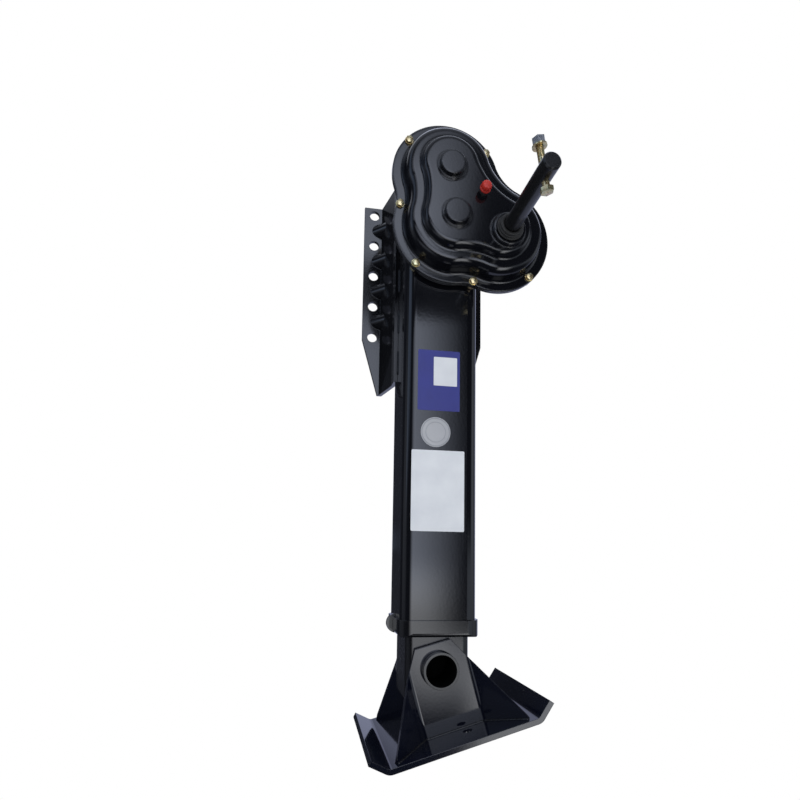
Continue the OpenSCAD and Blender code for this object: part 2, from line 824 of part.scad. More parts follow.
module bevel_gear() {
    cone_angle = atan2(bevel_r, bevel_pinion_r);
    inner_r = bevel_r - bevel_face * sin(cone_angle);
    root_angle = cone_angle - gear_ded * bevel_module / bevel_cone * 180 / PI;
    root_drop = bevel_edge / tan(root_angle) - bevel_pinion_r;
    color(steel) placed() translate([0, 0, bevel_back]) difference() {
        union() {
            translate([0, 0, -bevel_hub]) cylinder(r = journal_d / 2 + 10, h = bevel_hub + cut);
            intersection() {
                cylinder(r = bevel_edge, h = 2 * bevel_body);
                union() {
                    cylinder(r = bevel_edge + cut, h = bevel_body - root_drop);
                    translate([0, 0, bevel_body]) rotate(-90 + 180 / bevel_teeth)
                        bevel_teeth_ring(bevel_teeth, bevel_r, cone_angle, root_drop + cut);
                }
            }
        }
        translate([0, 0, -2 * bevel_hub]) cylinder(r = journal_d / 2 + run_gap, h = 4 * bevel_body);
        translate([0, 0, bevel_body]) cylinder(r = inner_r - 4, h = bevel_body);
    }
}

module screw_nut() {
    color(zinc) placed() translate([0, 0, bevel_back + bevel_body])
        hex_nut(screw_nut_af, journal_d / 2 + run_gap, screw_nut_t);
}

module screw_stop() {
    color(steel) placed() translate([0, 0, screw_bottom - stop_t])
        cylinder(r = screw_d / 2 + 6, h = stop_t);
}

module inner_tube() {
    color(paint) placed() difference() {
        square_tube(inner_w, inner_corner, inner_wall, inner_bottom, inner_top);
        bar([0, axle_z], -inner_w, inner_w, axle_r + run_gap);
    }
}

module nut_plate() {
    color(steel) placed() translate([0, 0, inner_top]) difference() {
        linear_extrude(nut_plate_t) round_square(tube_in - 2 * guide_gap, tube_in_corner);
        translate([0, 0, -cut]) cylinder(r = nut_body_r + run_gap, h = nut_plate_t + 2 * cut);
    }
}

module lift_nut() {
    color(bronze) placed() difference() {
        union() {
            translate([0, 0, nut_plate_top]) cylinder(r = nut_flange_r, h = nut_flange_t);
            translate([0, 0, nut_bottom]) cylinder(r = nut_body_r, h = nut_body_l + cut);
        }
        translate([0, 0, nut_bottom - cut]) cylinder(r = screw_d / 2 + run_gap, h = 2 * nut_body_l);
    }
}

// Hollow axle, closed by a web across its middle.
module axle_tube() {
    half = axle_length / 2;
    color(paint) placed() difference() {
        bar([0, axle_z], -half, half, axle_r);
        bar([0, axle_z], -half - cut, -axle_web / 2, axle_r - axle_wall);
        bar([0, axle_z], axle_web / 2, half + cut, axle_r - axle_wall);
    }
}

// The foot's own frame: the axle at the origin, tilted as it stands at rest.
module on_axle() {
    placed() translate([0, 0, axle_z]) rotate([0, -foot_tilt, 0]) children();
}

// Sheet along x with its underside on y = 0, bent up by an angle over an outside radius.
module bent_sheet(flat, r, t, angle, tail) {
    square([flat, t]);
    translate([flat, r]) {
        intersection() {
            difference() {
                circle(r);
                circle(r - t);
            }
            scale(2 * r) polygon([[0, 0], [0, -1], [tan(angle / 2), -1], [sin(angle), -cos(angle)]]);
        }
        rotate(angle) translate([0, -r]) square([tail, t]);
    }
}

module both_ways() {
    children();
    mirror([1, 0]) children();
}

// Folded side plate: a flat panel beside the leg, and wings that spread to the corners of the sole.
module side_plate() {
    corner = [panel_half, panel_back + foot_t];
    foot_end = [plate_foot_half, plate_foot_y];
    bend = (fold_round - foot_t) * tan(wing_angle / 2);
    outer_x = plate_foot_half + foot_t * sin(wing_angle);
    difference() {
        intersection() {
            translate([0, 0, sole_top]) linear_extrude(plate_top_z - sole_top)
                translate([0, panel_back]) both_ways()
                    bent_sheet(panel_half - bend, fold_round, foot_t, wing_angle,
                        norm(foot_end - corner) - bend);
            rotate([90, 0, 0]) linear_extrude(2 * sole_depth, center = true)
                polygon([[-plate_top_half, plate_top_z], [plate_top_half, plate_top_z],
                    [outer_x, sole_top], [-outer_x, sole_top]]);
        }
        rotate([-90, 0, 0]) cylinder(r = axle_r + run_gap, h = sole_depth);
    }
}

module foot_plate_front() {
    color(paint) on_axle() mirror([0, 1, 0]) side_plate();
}

module foot_plate_rear() {
    color(paint) on_axle() side_plate();
}

// Sole: flat sheet with a raised lip at each end, and a drain hole.
module sole_pan() {
    color(paint) on_axle() difference() {
        rotate([90, 0, 0]) linear_extrude(sole_depth, center = true) translate([0, -foot_h]) both_ways()
            bent_sheet(sole_flat / 2 - lip_round * tan(lip_angle / 2), lip_round, sole_t, lip_angle,
                lip_length);
        translate([drain_d, -sole_depth / 2 + 3 * drain_d, -foot_h - cut])
            cylinder(d = drain_d, h = sole_t + 2 * cut);
    }
}

module output_shaft() {
    color(steel) placed() union() {
        bar(output_at, -output_rear, 0, stub_d / 2);
        bar(output_at, -rear_bush_end - 2 * cut, upper_gear_back + upper_gear_w, output_d / 2);
        bar(output_at, upper_gear_back, boss_front - cover_t - 2 * cut, nose_d / 2);
    }
}

module bevel_pinion() {
    cone_angle = atan2(bevel_pinion_r, bevel_r);
    hub = tube_in / 2 - bevel_r - cut;
    color(steel) placed() difference() {
        union() {
            translate([0, -bevel_r, output_z]) rotate([-90, 0, 0])
                rotate(90) bevel_teeth_ring(pinion_teeth, bevel_pinion_r, cone_angle, 0);
            bar(output_at, bevel_r - cut, bevel_r + hub, bevel_pinion_r - pinion_hub_drop);
        }
        bar(output_at, 0, tube_w, output_d / 2 + run_gap);
    }
}

module output_gear() {
    color(steel) placed() facing(lower_gear_back) translate(output_at)
        linear_extrude(lower_gear_w)
            spur(output_teeth, heading(output_at, idler_at), output_d / 2 + run_gap);
}

module idler_pinion() {
    color(steel) placed() facing(lower_gear_back) translate(idler_at)
        linear_extrude(upper_gear_back - lower_gear_back)
            spur(step_teeth, heading(idler_at, output_at) + 180 / step_teeth, nose_d / 2 + run_gap);
}

module idler_gear() {
    color(steel) placed() facing(upper_gear_back) translate(idler_at)
        linear_extrude(upper_gear_w)
            spur(idler_teeth, heading(idler_at, crank_at), nose_d / 2 + run_gap);
}

module crank_pinion() {
    color(steel) placed() facing(upper_gear_back) translate(crank_at)
        linear_extrude(upper_gear_w)
            spur(crank_teeth, heading(crank_at, idler_at) + 180 / crank_teeth, crank_d / 2 + run_gap);
}

// The cross bolt's frame: its axis along z, where it meets the crank shaft's axis.
module across_crank() {
    placed() translate([crank_at.x, -cross_bolt_y, crank_at.y]) rotate([0, -cross_bolt_lean, 0]) children();
}

module crank_shaft() {
    color(paint) difference() {
        placed() union() {
            bar(crank_at, crank_back, crank_tip - crank_chamfer, crank_d / 2);
            facing(crank_tip - crank_chamfer) translate(crank_at)
                cylinder(r1 = crank_d / 2, r2 = crank_d / 2 - crank_chamfer, h = crank_chamfer);
        }
        across_crank() cylinder(d = cross_bolt_d + 2 * loose_gap, h = 2 * crank_d, center = true);
    }
}

module crank_bolt() {
    color(zinc) across_crank() translate([0, 0, -cross_head_gap]) {
        translate([0, 0, -cross_head_h]) hex_bar(cross_af, cross_head_h);
        translate([0, 0, -cut]) cylinder(d = cross_bolt_d, h = cross_bolt_l + cut);
    }
}

// Underside of the nut, along the cross bolt.
cross_nut_z = cross_bolt_l - cross_head_gap - cross_thread_end - cross_nut_h;

module crank_nut() {
    color(silver) across_crank() translate([0, 0, cross_nut_z])
        hex_nut(cross_af, cross_bolt_d / 2 + run_gap, cross_nut_h);
}

module crank_washer() {
    color(zinc) across_crank() translate([0, 0, cross_nut_z - cross_washer_t]) difference() {
        cylinder(r = cross_bolt_d, h = cross_washer_t);
        translate([0, 0, -cut]) cylinder(r = cross_bolt_d / 2 + loose_gap, h = cross_washer_t + 2 * cut);
    }
}

outer_tube();
bottom_collar();
left_bracket();
right_bracket();
top_cap();
gear_case();
cover_gasket();
gear_cover();
cover_bolts();
cover_nuts();
crank_case_bush();
crank_cover_bush();
crank_boot();
vent_base();
vent_cap();
side_clip();
clip_bolt();
bearing_plate();
thrust_race_upper();
output_front_bush();
output_rear_bush();
output_nose_bush();
idler_pin();
lead_screw();
thrust_race_lower();
thrust_balls();
bevel_gear();
screw_nut();
screw_stop();
inner_tube();
nut_plate();
lift_nut();
axle_tube();
foot_plate_front();
foot_plate_rear();
sole_pan();
output_shaft();
bevel_pinion();
output_gear();
idler_gear();
idler_pinion();
crank_pinion();
crank_shaft();
crank_bolt();
crank_nut();
crank_washer();
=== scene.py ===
import json
import math
import random

import bmesh
import bpy
from mathutils import Matrix, Vector


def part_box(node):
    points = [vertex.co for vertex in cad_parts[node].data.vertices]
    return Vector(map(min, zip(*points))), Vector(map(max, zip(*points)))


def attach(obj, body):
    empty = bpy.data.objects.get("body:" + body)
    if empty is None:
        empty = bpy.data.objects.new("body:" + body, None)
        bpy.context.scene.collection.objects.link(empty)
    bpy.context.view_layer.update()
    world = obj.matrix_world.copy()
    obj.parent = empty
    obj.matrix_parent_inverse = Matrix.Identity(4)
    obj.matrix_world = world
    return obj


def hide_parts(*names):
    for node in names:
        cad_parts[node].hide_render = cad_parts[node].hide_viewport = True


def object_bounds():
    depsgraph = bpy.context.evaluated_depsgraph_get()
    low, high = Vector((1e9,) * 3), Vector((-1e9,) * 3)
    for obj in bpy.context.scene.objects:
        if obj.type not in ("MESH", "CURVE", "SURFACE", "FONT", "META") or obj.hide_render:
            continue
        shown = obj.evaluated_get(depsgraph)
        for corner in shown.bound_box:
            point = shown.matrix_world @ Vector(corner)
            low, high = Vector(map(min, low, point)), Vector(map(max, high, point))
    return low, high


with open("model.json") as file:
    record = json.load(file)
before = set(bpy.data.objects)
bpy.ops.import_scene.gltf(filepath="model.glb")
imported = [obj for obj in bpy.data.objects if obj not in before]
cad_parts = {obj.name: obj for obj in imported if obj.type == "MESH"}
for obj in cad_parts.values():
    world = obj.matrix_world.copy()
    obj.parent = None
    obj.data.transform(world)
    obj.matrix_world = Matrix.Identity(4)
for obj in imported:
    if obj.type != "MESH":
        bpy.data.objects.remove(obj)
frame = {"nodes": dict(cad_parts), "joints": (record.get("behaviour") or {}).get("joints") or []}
cad_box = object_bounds()
nodes = frame["nodes"]
joints = {joint["name"]: joint for joint in frame["joints"]}


# The view of the photograph.
# A camera held low in front of the leg and a little to its left, looking slightly up at the gearbox.
# Its frame is shifted up so that the whole leg stands in it, and the sensor's height sets its field of view.
image_px = 800
focal_px = 567.7
sensor_h = 36.0
sensor_w = 28.6
frame_shift = 0.12
camera_at = Vector((-0.2035, -1.0091, -0.5148))
camera_yaw = math.radians(9.41)
camera_pitch = math.radians(5.95)
camera_roll = math.radians(0.92)
camera_data = bpy.data.cameras.new("photo_camera")
camera_data.sensor_fit = "VERTICAL"
camera_data.sensor_height = sensor_h
camera_data.sensor_width = sensor_w
camera_data.lens = sensor_h * focal_px / image_px
camera_data.shift_y = frame_shift
camera = bpy.data.objects.new("photo_camera", camera_data)
camera.location = camera_at
level_view = Matrix.Rotation(-camera_yaw, 3, "Z") @ Matrix.Rotation(math.pi / 2 + camera_pitch, 3, "X")
camera.rotation_euler = (level_view @ Matrix.Rotation(camera_roll, 3, "Z")).to_euler()
bpy.context.scene.collection.objects.link(camera)
bpy.context.scene.camera = camera
bpy.context.scene.view_settings.view_transform = "Standard"


# The room round the leg.
# Glossy black paint mirrors what stands before it: a tall bright doorway with a dark lintel, sunlit ground
# and pale walls in a dim room. Only reflections see the room, and the surround itself is plain white.
def wire(tree, source, target):
    tree.links.new(source, target)


def add_node(tree, kind, **values):
    """A node with its inputs and settings given by name."""
    made = tree.nodes.new(kind)
    for name, value in values.items():
        if name in made.inputs:
            made.inputs[name].default_value = value
        else:
            setattr(made, name, value)
    return made


def math_node(tree, operation, first, second):
    made = add_node(tree, "ShaderNodeMath", operation=operation)
    for socket, value in zip(made.inputs, (first, second)):
        if isinstance(value, (int, float)):
            socket.default_value = value
        else:
            wire(tree, value, socket)
    return made.outputs[0]


def fade(tree, source, low, high, interpolation="SMOOTHSTEP"):
    """Rises from 0 at low to 1 at high, or falls where low is the larger."""
    falls = low > high
    made = add_node(tree, "ShaderNodeMapRange", interpolation_type=interpolation,
                    **{"From Min": min(low, high), "From Max": max(low, high),
                       "To Min": float(falls), "To Max": float(not falls)})
    wire(tree, source, made.inputs["Value"])
    return made.outputs[0]


def mix_shader(tree, factor, first, second):
    made = add_node(tree, "ShaderNodeMixShader")
    for socket, source in zip(made.inputs, (factor, first, second)):
        wire(tree, source, socket)
    return made.outputs[0]


def seen_directly(tree):
    """1 for what the camera sees, straight or through something clear."""
    path = add_node(tree, "ShaderNodeLightPath")
    return math_node(tree, "MAXIMUM", path.outputs["Is Camera Ray"], path.outputs["Is Transmission Ray"])


world = bpy.data.worlds.new("studio")
world.use_nodes = True
sky = world.node_tree
sky.nodes.clear()
toward = add_node(sky, "ShaderNodeSeparateXYZ")
wire(sky, add_node(sky, "ShaderNodeTexCoord").outputs["Generated"], toward.inputs[0])
toward_x, toward_y, toward_z = toward.outputs
least_ahead = 0.02
ahead = math_node(sky, "MAXIMUM", math_node(sky, "MULTIPLY", toward_y, -1.0), least_ahead)
across = math_node(sky, "DIVIDE", toward_x, ahead)
rise = math_node(sky, "DIVIDE", toward_z, ahead)


def patch(*limits):
    """A mask of the room that is bright where every limit is met."""
    mask = fade(sky, *limits[0])
    for limit in limits[1:]:
        mask = math_node(sky, "MULTIPLY", mask, fade(sky, *limit))
    return mask


jamb_bend = 0.5
jamb_lean = 0.17
above_bend = math_node(sky, "MAXIMUM", math_node(sky, "SUBTRACT", rise, jamb_bend), 0.0)
jamb = math_node(sky, "SUBTRACT", across, math_node(sky, "MULTIPLY", above_bend, jamb_lean))
opening = patch((jamb, 0.286, 0.195, "LINEAR"), (across, -0.60, 0.05),
                (rise, -0.12, -0.02), (rise, 1.05, 0.58))
lintel = patch((rise, 0.430, 0.450), (rise, 0.558, 0.513))
doorway = math_node(sky, "MULTIPLY", opening, math_node(sky, "SUBTRACT", 1.0, lintel))
room_dark = (0.022, 0.024, 0.032)
bright_patches = {
    "doorway": ((1.85, 2.02, 2.45), doorway),
    "doorstep": ((2.10, 2.15, 2.25), patch(
        (across, 0.288, 0.20), (across, -0.6, 0.0), (rise, -0.31, -0.15), (rise, 0.01, -0.09))),
    "sunny_ground": ((1.60, 1.65, 1.75), patch(
        (across, 0.62, 0.40), (across, 0.17, 0.26), (rise, -0.29, -0.20), (rise, -0.125, -0.17))),
    "near_ground": ((2.60, 2.65, 2.75), patch(
        (across, 0.80, 0.50), (across, 0.27, 0.33), (rise, -1.8, -0.6), (rise, -0.12, -0.30))),
    "right_ground": ((0.45, 0.50, 0.58), patch(
        (across, 0.38, 0.60), (across, 2.6, 1.2), (rise, -0.55, -0.25), (rise, 0.1, -0.06))),
    "left_window": ((0.40, 0.52, 0.75), patch(
        (across, -0.8, -1.4), (across, -8.0, -4.0), (rise, 0.2, 0.7), (rise, 3.0, 1.5))),
    "ceiling": ((0.35, 0.38, 0.45), patch((toward_z, 0.60, 0.95))),
    "rear_ceiling": ((0.50, 0.53, 0.60), patch((toward_y, 0.05, 0.4), (toward_z, 0.50, 0.65))),
    "rear_wall": ((0.38, 0.41, 0.58), patch((toward_y, 0.2, 0.7), (toward_x, -0.11, 0.0))),
    "left_ground": ((0.55, 0.60, 0.70), patch(
        (across, -0.35, -0.75), (across, -3.0, -1.5), (rise, -1.7, -0.9), (rise, -0.35, -0.60))),
    "right_wall": ((0.60, 0.65, 0.74), patch(
        (toward_x, 0.80, 0.98), (toward_z, -0.40, 0.10), (toward_y, 0.50, -0.30))),
    "left_wall": ((0.22, 0.24, 0.28), patch((toward_x, -0.86, -0.99), (toward_z, -0.40, 0.10))),
}
room = add_node(sky, "ShaderNodeCombineXYZ", **dict(zip("XYZ", room_dark))).outputs[0]
for patch_name, (colour, mask) in bright_patches.items():
    lit = add_node(sky, "ShaderNodeVectorMath", operation="SCALE", Vector=colour, label=patch_name)
    wire(sky, mask, lit.inputs["Scale"])
    total = add_node(sky, "ShaderNodeVectorMath", operation="ADD")
    wire(sky, lit.outputs[0], total.inputs[0])
    wire(sky, room, total.inputs[1])
    room = total.outputs[0]
mirrored = add_node(sky, "ShaderNodeBackground", Strength=1.0)
wire(sky, room, mirrored.inputs["Color"])
ambient = add_node(sky, "ShaderNodeBackground", Color=(0.92, 0.96, 1.0, 1.0), Strength=0.75)
surround = add_node(sky, "ShaderNodeBackground", Color=(1.0, 1.0, 1.0, 1.0), Strength=1.0)
glossy = add_node(sky, "ShaderNodeLightPath").outputs["Is Glossy Ray"]
unseen = mix_shader(sky, glossy, ambient.outputs[0], mirrored.outputs[0])
wire(sky, mix_shader(sky, seen_directly(sky), unseen, surround.outputs[0]),
     add_node(sky, "ShaderNodeOutputWorld").inputs["Surface"])
bpy.context.scene.world = world


# The floor.
# A pale matte disc that the foot lands on when the leg is cranked right down.
# It keeps a soft shadow, and fades into the white surround towards its rim.
leg_travel = joints["leg_extend"]["range_m"][1]
tilt_room = 0.03
floor_at = Vector((0.0, -0.12, cad_box[0].z - leg_travel - tilt_room))
floor_r = 0.70
floor_full_r = 0.25
floor_shade = 0.30
floor_grey = (0.5, 0.5, 0.5, 1.0)
floor_sides = 96
floor_mesh = bpy.data.meshes.new("floor")
floor_shape = bmesh.new()
bmesh.ops.create_circle(floor_shape, cap_ends=True, segments=floor_sides, radius=floor_r,
                        matrix=Matrix.Translation(floor_at))
floor_shape.to_mesh(floor_mesh)
floor_shape.free()
floor = bpy.data.objects.new("floor", floor_mesh)
bpy.context.scene.collection.objects.link(floor)
floor.visible_glossy = False
sweep = bpy.data.materials.new("pale_sweep")
sweep.use_nodes = True
sweep_tree = sweep.node_tree
sweep_tree.nodes.clear()
bounce = add_node(sweep_tree, "ShaderNodeBsdfDiffuse", Color=floor_grey)
from_middle = add_node(sweep_tree, "ShaderNodeVectorMath", operation="DISTANCE")
wire(sweep_tree, add_node(sweep_tree, "ShaderNodeTexCoord").outputs["Object"], from_middle.inputs[0])
from_middle.inputs[1].default_value = floor_at
share = math_node(sweep_tree, "MULTIPLY",
                  fade(sweep_tree, from_middle.outputs["Value"], floor_r, floor_full_r), floor_shade)
shaded = add_node(sweep_tree, "ShaderNodeBsdfDiffuse")
wire(sweep_tree, share, shaded.inputs["Color"])
glow = add_node(sweep_tree, "ShaderNodeEmission", Color=(1.0, 1.0, 1.0, 1.0))
wire(sweep_tree, math_node(sweep_tree, "SUBTRACT", 1.0, share), glow.inputs["Strength"])
pale = add_node(sweep_tree, "ShaderNodeAddShader")
wire(sweep_tree, shaded.outputs[0], pale.inputs[0])
wire(sweep_tree, glow.outputs[0], pale.inputs[1])
wire(sweep_tree, mix_shader(sweep_tree, seen_directly(sweep_tree), bounce.outputs[0], pale.outputs[0]),
     add_node(sweep_tree, "ShaderNodeOutputMaterial").inputs["Surface"])
floor_mesh.materials.append(sweep)


# Soft boxes.
# Four large lamps round the leg, the left one a little cooler, that light the labels, bolts and edges.
# The paint doesn't mirror them.
leg_middle = (cad_box[0] + cad_box[1]) / 2


def soft_box(name, place, width, height, power, colour):
    data = bpy.data.lights.new(name, "AREA")
    data.shape = "RECTANGLE"
    data.size = width
    data.size_y = height
    data.energy = power
    data.color = colour
    lamp = bpy.data.objects.new(name, data)
    lamp.location = place
    lamp.rotation_euler = (leg_middle - Vector(place)).to_track_quat("-Z", "Y").to_euler()
    lamp.visible_camera = False
    lamp.visible_glossy = False
    bpy.context.scene.collection.objects.link(lamp)


soft_box("left_box", (-2.0, -1.0, 0.6), width=1.4, height=2.2, power=9.0, colour=(0.80, 0.90, 1.0))
soft_box("top_box", (0.3, -1.1, 1.9), width=1.6, height=1.0, power=12.0, colour=(0.94, 0.97, 1.0))
soft_box("right_box", (2.0, -0.8, 0.4), width=0.9, height=1.8, power=4.0, colour=(0.95, 0.97, 1.0))
soft_box("rear_box", (0.8, 2.0, 0.8), width=1.2, height=1.6, power=14.0, colour=(0.95, 0.97, 1.0))


# Outer tube.
# A square welded steel tube with rounded corners and a lid in its top, sprayed with thick glossy black paint.
# The paint film has orange peel, a little settled dust and thin, slightly worn edges.
def node_group(name, inputs, outputs):
    made = bpy.data.node_groups.new(name, "ShaderNodeTree")
    for label, kind, value in inputs:
        socket = made.interface.new_socket(label, in_out="INPUT", socket_type=kind)
        socket.default_value = value
    for label, kind in outputs:
        made.interface.new_socket(label, in_out="OUTPUT", socket_type=kind)
    return made, add_node(made, "NodeGroupInput"), add_node(made, "NodeGroupOutput")


def noise(tree, coordinates, scale, detail, roughness=0.5):
    made = add_node(tree, "ShaderNodeTexNoise", Scale=scale, Detail=detail, Roughness=roughness)
    wire(tree, coordinates, made.inputs["Vector"])
    return made.outputs["Fac"]


def levels(tree, source, low, high, to_low=0.0, to_high=1.0):
    made = add_node(tree, "ShaderNodeMapRange",
                    **{"From Min": low, "From Max": high, "To Min": to_low, "To Max": to_high})
    wire(tree, source, made.inputs["Value"])
    return made.outputs[0]


def object_place(tree):
    return add_node(tree, "ShaderNodeTexCoord").outputs["Object"]


film, film_in, film_out = node_group(
    "paint_film",
    [("Dust Amount", "NodeSocketFloat", 0.5), ("Edge Width", "NodeSocketFloat", 0.0012)],
    [("Peel", "NodeSocketFloat"), ("Dust", "NodeSocketFloat"), ("Edge", "NodeSocketFloat"),
     ("Smear", "NodeSocketFloat"), ("Soft Normal", "NodeSocketVector")])
where = object_place(film)
wire(film, noise(film, where, scale=260.0, detail=2.0, roughness=0.45), film_out.inputs["Peel"])
specks = levels(film, noise(film, where, scale=900.0, detail=1.0), 0.62, 0.74)
clouds = levels(film, noise(film, where, scale=14.0, detail=4.0), 0.40, 0.75)
surface = add_node(film, "ShaderNodeNewGeometry")
facing = add_node(film, "ShaderNodeSeparateXYZ")
wire(film, surface.outputs["True Normal"], facing.inputs[0])
upward = levels(film, facing.outputs["Z"], -0.1, 0.9, 0.25, 1.0)
settled = math_node(film, "MULTIPLY", math_node(film, "MULTIPLY", specks, clouds), upward)
splash = add_node(film, "ShaderNodeTexVoronoi", Scale=42.0)
wire(film, where, splash.inputs["Vector"])
splash_pick = add_node(film, "ShaderNodeSeparateColor")
wire(film, splash.outputs["Color"], splash_pick.inputs[0])
spots = math_node(film, "MULTIPLY", levels(film, splash.outputs["Distance"], 0.09, 0.03),
                  levels(film, splash_pick.outputs[0], 0.74, 0.95, 0.0, 0.7))
dust = math_node(film, "MAXIMUM", settled, spots)
wire(film, math_node(film, "MULTIPLY", dust, film_in.outputs["Dust Amount"]), film_out.inputs["Dust"])
rounded = add_node(film, "ShaderNodeBevel", samples=10)
wire(film, film_in.outputs["Edge Width"], rounded.inputs["Radius"])
wire(film, rounded.outputs["Normal"], film_out.inputs["Soft Normal"])
agreement = add_node(film, "ShaderNodeVectorMath", operation="DOT_PRODUCT")
wire(film, rounded.outputs["Normal"], agreement.inputs[0])
wire(film, surface.outputs["Normal"], agreement.inputs[1])
edge = levels(film, agreement.outputs["Value"], 0.97, 0.80)
chips = levels(film, noise(film, where, scale=120.0, detail=3.0), 0.52, 0.70)
wire(film, math_node(film, "MULTIPLY", edge, chips), film_out.inputs["Edge"])
wire(film, levels(film, noise(film, where, scale=5.0, detail=3.0, roughness=0.6), 0.30, 0.75),
     film_out.inputs["Smear"])


def mix_colour(tree, factor, first, second):
    made = add_node(tree, "ShaderNodeMix", data_type="RGBA")
    wire(tree, factor, made.inputs["Factor"])
    for socket, value in ((made.inputs[6], first), (made.inputs[7], second)):
        if isinstance(value, tuple):
            socket.default_value = (*value, 1.0)
        else:
            wire(tree, value, socket)
    return made.outputs[2]


def new_material(name):
    made = bpy.data.materials.new(name)
    made.use_nodes = True
    tree = made.node_tree
    tree.nodes.clear()
    shader = add_node(tree, "ShaderNodeBsdfPrincipled")
    wire(tree, shader.outputs[0], add_node(tree, "ShaderNodeOutputMaterial").inputs["Surface"])
    return made, tree, shader


def bump(tree, shader, height, distance, strength, normal=None):
    made = add_node(tree, "ShaderNodeBump", Strength=strength, Distance=distance)
    wire(tree, height, made.inputs["Height"])
    if normal is not None:
        wire(tree, normal, made.inputs["Normal"])
    wire(tree, made.outputs[0], shader.inputs["Normal"])


worn_edge = (0.010, 0.0105, 0.0125)
road_dust = (0.20, 0.19, 0.18)
smear_dulls = 0.07
dust_dulls = 0.5
clear_coat = 0.35
clear_coat_roughness = 0.06


def black_paint(name, colour, dust, roughness, edge_width=0.0012):
    """The leg's sprayed paint, with its own dust, dullness and softness of edges."""
    made, tree, shader = new_material(name)
    layer = add_node(tree, "ShaderNodeGroup", node_tree=film)
    layer.inputs["Dust Amount"].default_value = dust
    layer.inputs["Edge Width"].default_value = edge_width
    worn = mix_colour(tree, layer.outputs["Edge"], colour, worn_edge)
    wire(tree, mix_colour(tree, layer.outputs["Dust"], worn, road_dust), shader.inputs["Base Color"])
    smeared = levels(tree, layer.outputs["Smear"], 0.0, 1.0, roughness, roughness + smear_dulls)
    dulled = math_node(tree, "MULTIPLY", layer.outputs["Dust"], dust_dulls)
    wire(tree, math_node(tree, "ADD", smeared, dulled), shader.inputs["Roughness"])
    shader.inputs["Coat Weight"].default_value = clear_coat
    shader.inputs["Coat Roughness"].default_value = clear_coat_roughness
    bump(tree, shader, layer.outputs["Peel"], distance=0.00025, strength=0.09,
         normal=layer.outputs["Soft Normal"])
    return made


def coat(material, *names):
    """Gives the solids of the named nodes their finish."""
    for name in names:
        data = nodes[name].data
        data.materials.clear()
        data.materials.append(material)


deep_black = (0.0035, 0.0038, 0.0055)
coat(black_paint("tube_paint", deep_black, dust=0.12, roughness=0.05), "outer_tube", "top_cap")


# Wing brackets.
# Thick plate folded outwards behind the tube, with dents pressed across the fold and punched bolt holes.
# They are stitch welded down both sides of the tube and painted with it.
plain_black = (0.004, 0.0042, 0.0055)
coat(black_paint("bracket_paint", plain_black, dust=0.25, roughness=0.09), "left_bracket", "right_bracket")
bead_paint = black_paint("bead_paint", plain_black, dust=0.3, roughness=0.22)


def show(name, shape, material, body, sharp_deg=40.0, replaces=()):
    """Closes a shape and puts it in the scene as a piece that rides on its body."""
    bmesh.ops.remove_doubles(shape, verts=shape.verts, dist=1e-6)
    bmesh.ops.recalc_face_normals(shape, faces=shape.faces)
    data = bpy.data.meshes.new(name)
    shape.to_mesh(data)
    shape.free()
    data.materials.append(material)
    for face in data.polygons:
        face.use_smooth = True
    data.set_sharp_from_angle(angle=math.radians(sharp_deg))
    piece = bpy.data.objects.new(name, data)
    bpy.context.scene.collection.objects.link(piece)
    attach(piece, body)
    if replaces:
        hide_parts(*replaces)


bead_step = 0.0016
bead_sides = 8
bead_tip = 0.3
bead_valley = 0.86
bead_ripple = 0.16
bead_wander = 0.06
draw = random.Random(7)


def weld_bead(shape, start, end, radius):
    """A bead of overlapping ripples from one point to another."""
    start, end = Vector(start), Vector(end)
    along = end - start
    place = Matrix.Translation(start) @ along.to_track_quat("Z", "Y").to_matrix().to_4x4()
    steps = max(3, int(along.length / bead_step))
    size = bead_tip * radius
    ring = bmesh.ops.create_circle(shape, cap_ends=True, segments=bead_sides, radius=size, matrix=place)
    edges = list({e for v in ring["verts"] for e in v.link_edges})
    for step in range(1, steps + 1):
        made = bmesh.ops.extrude_edge_only(shape, edges=edges)["geom"]
        verts = [v for v in made if isinstance(v, bmesh.types.BMVert)]
        edges = [e for e in made if isinstance(e, bmesh.types.BMEdge)]
        ripple = bead_valley + bead_ripple * (step % 2) + draw.uniform(-bead_wander, bead_wander)
        wanted = radius * (ripple if step < steps else bead_tip)
        centre = start + along * (step - 1) / steps
        bmesh.ops.scale(shape, vec=Vector((wanted / size,) * 3), space=Matrix.Translation(-centre),
                        verts=verts)
        bmesh.ops.translate(shape, vec=along / steps, verts=verts)
        size = wanted
    bmesh.ops.contextual_create(shape, geom=edges)


bracket_low, bracket_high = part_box("left_bracket")
tube_low, tube_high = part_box("outer_tube")
stitch = 0.042
stitch_gap = 0.030
first_stitch = 0.012
stitch_r = 0.0020
stitches = bmesh.new()
for side_x in (tube_low.x, tube_high.x):
    z = bracket_low.z + first_stitch
    while z + stitch < bracket_high.z:
        weld_bead(stitches, (side_x, bracket_low.y, z), (side_x, bracket_low.y, z + stitch), stitch_r)
        z += stitch + stitch_gap
show("bracket_welds", stitches, bead_paint, "housing")


# Guide collar.
# A pressed sleeve over the tube's lower end, turned in under it, with an ear on each side.
# It is rounded all round and painted with the tube.
coat(black_paint("collar_paint", plain_black, dust=0.3, roughness=0.10), "bottom_collar")


# Gearbox.
# A shallow pan welded to the tube and a deep drawn sheet cover with a stepped plateau over it.
# Pan and cover are painted with the tube, and the drawn edges are soft and catch the light.
drawn_edge = 0.005
cover_paint = black_paint("cover_paint", deep_black, dust=0.06, roughness=0.06, edge_width=drawn_edge)
coat(cover_paint, "gear_cover", "gear_case")


